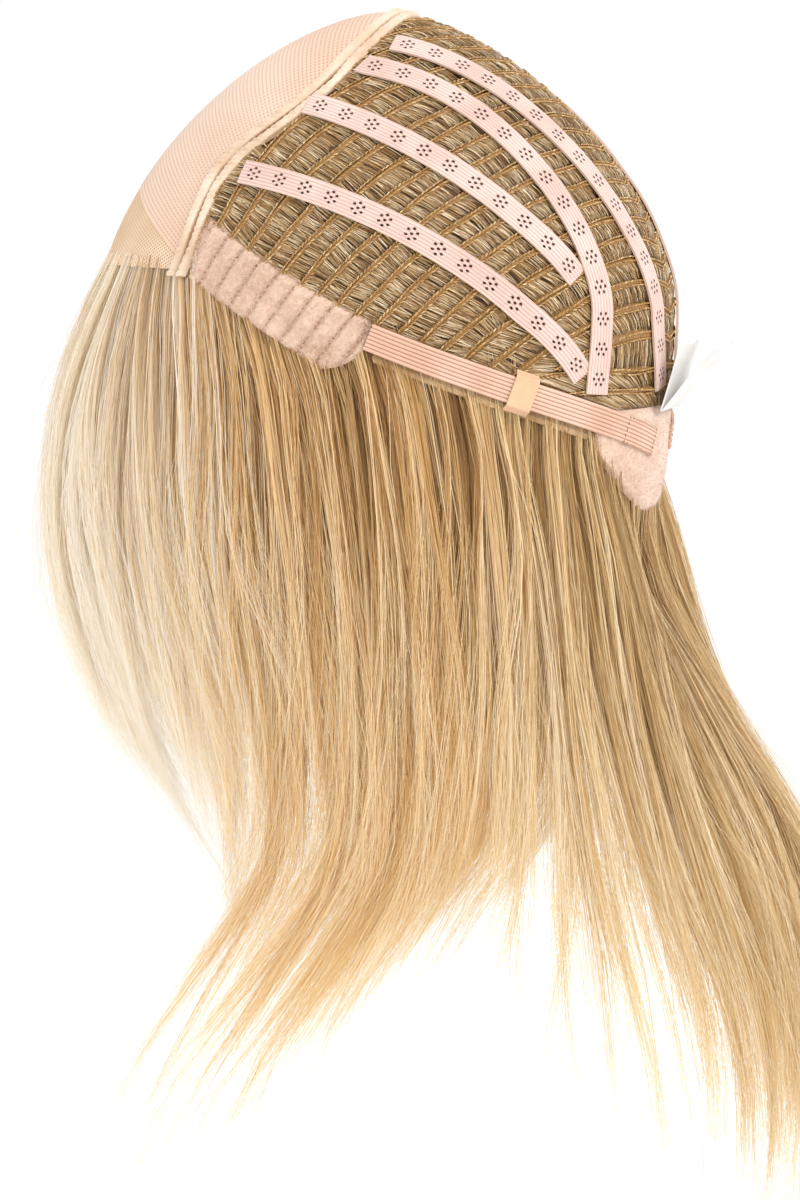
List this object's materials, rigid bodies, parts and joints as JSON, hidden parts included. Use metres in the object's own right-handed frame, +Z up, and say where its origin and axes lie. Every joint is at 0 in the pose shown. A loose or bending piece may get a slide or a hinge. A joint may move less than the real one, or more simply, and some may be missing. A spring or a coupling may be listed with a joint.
{
  "type": "monofilament top wig",
  "caption": "Monofilament top wig turned inside out: sewn weft cap with eyelet ribbons, felt tabs and straps, and long layered hair hanging from its opening.",
  "frame": {"origin": "crown seat: highest point of the cap's hollow, where the top of a head rests", "axes": "+Z up, forehead at -Y, nape at +Y, right side of the cap as shown at +X"},
  "size_m": [0.167, 0.2705, 0.4273],
  "materials": {
    "lace": "sheer beige lace mesh",
    "mono": "fine peach monofilament net with rows of knots",
    "binding": "padded cream tape with two ridges",
    "weft": "blond weft tracks with short hair fringe",
    "ribbon": "pale pink elastic ribbon with flower eyelets",
    "felt": "soft brushed felt, quilted",
    "band": "tan bound edge",
    "elastic": "ribbed pink elastic",
    "keeper": "cream satin tape",
    "label": "white woven label, blank",
    "hair": "honey blond hair, paler at the tips"
  },
  "bodies": {
    "root": {"lace_front": "lace", "mono_top": "mono", "mono_binding": "binding", "weft_01": "weft", "weft_02": "weft", "weft_03": "weft", "weft_04": "weft", "weft_05": "weft", "weft_06": "weft", "weft_07": "weft", "weft_08": "weft", "weft_09": "weft", "weft_10": "weft", "weft_11": "weft", "weft_12": "weft", "weft_13": "weft", "weft_14": "weft", "weft_15": "weft", "weft_16": "weft", "weft_17": "weft", "weft_18": "weft", "weft_19": "weft", "weft_20": "weft", "weft_21": "weft", "weft_22": "weft", "ribbon_side_low_right": "ribbon", "ribbon_side_low_left": "ribbon", "ribbon_side_high_right": "ribbon", "ribbon_side_high_left": "ribbon", "ribbon_back_outer_right": "ribbon", "ribbon_back_outer_left": "ribbon", "ribbon_back_inner_right": "ribbon", "ribbon_back_inner_left": "ribbon", "ear_tab_right": "felt", "ear_tab_left": "felt", "edge_band_right": "band", "edge_band_left": "band", "elastic_right": "elastic", "elastic_left": "elastic", "strap_keeper_right": "keeper", "strap_keeper_left": "keeper", "nape_patch": "felt", "label": "label", "hair": "hair"}
  },
  "joints": []
}
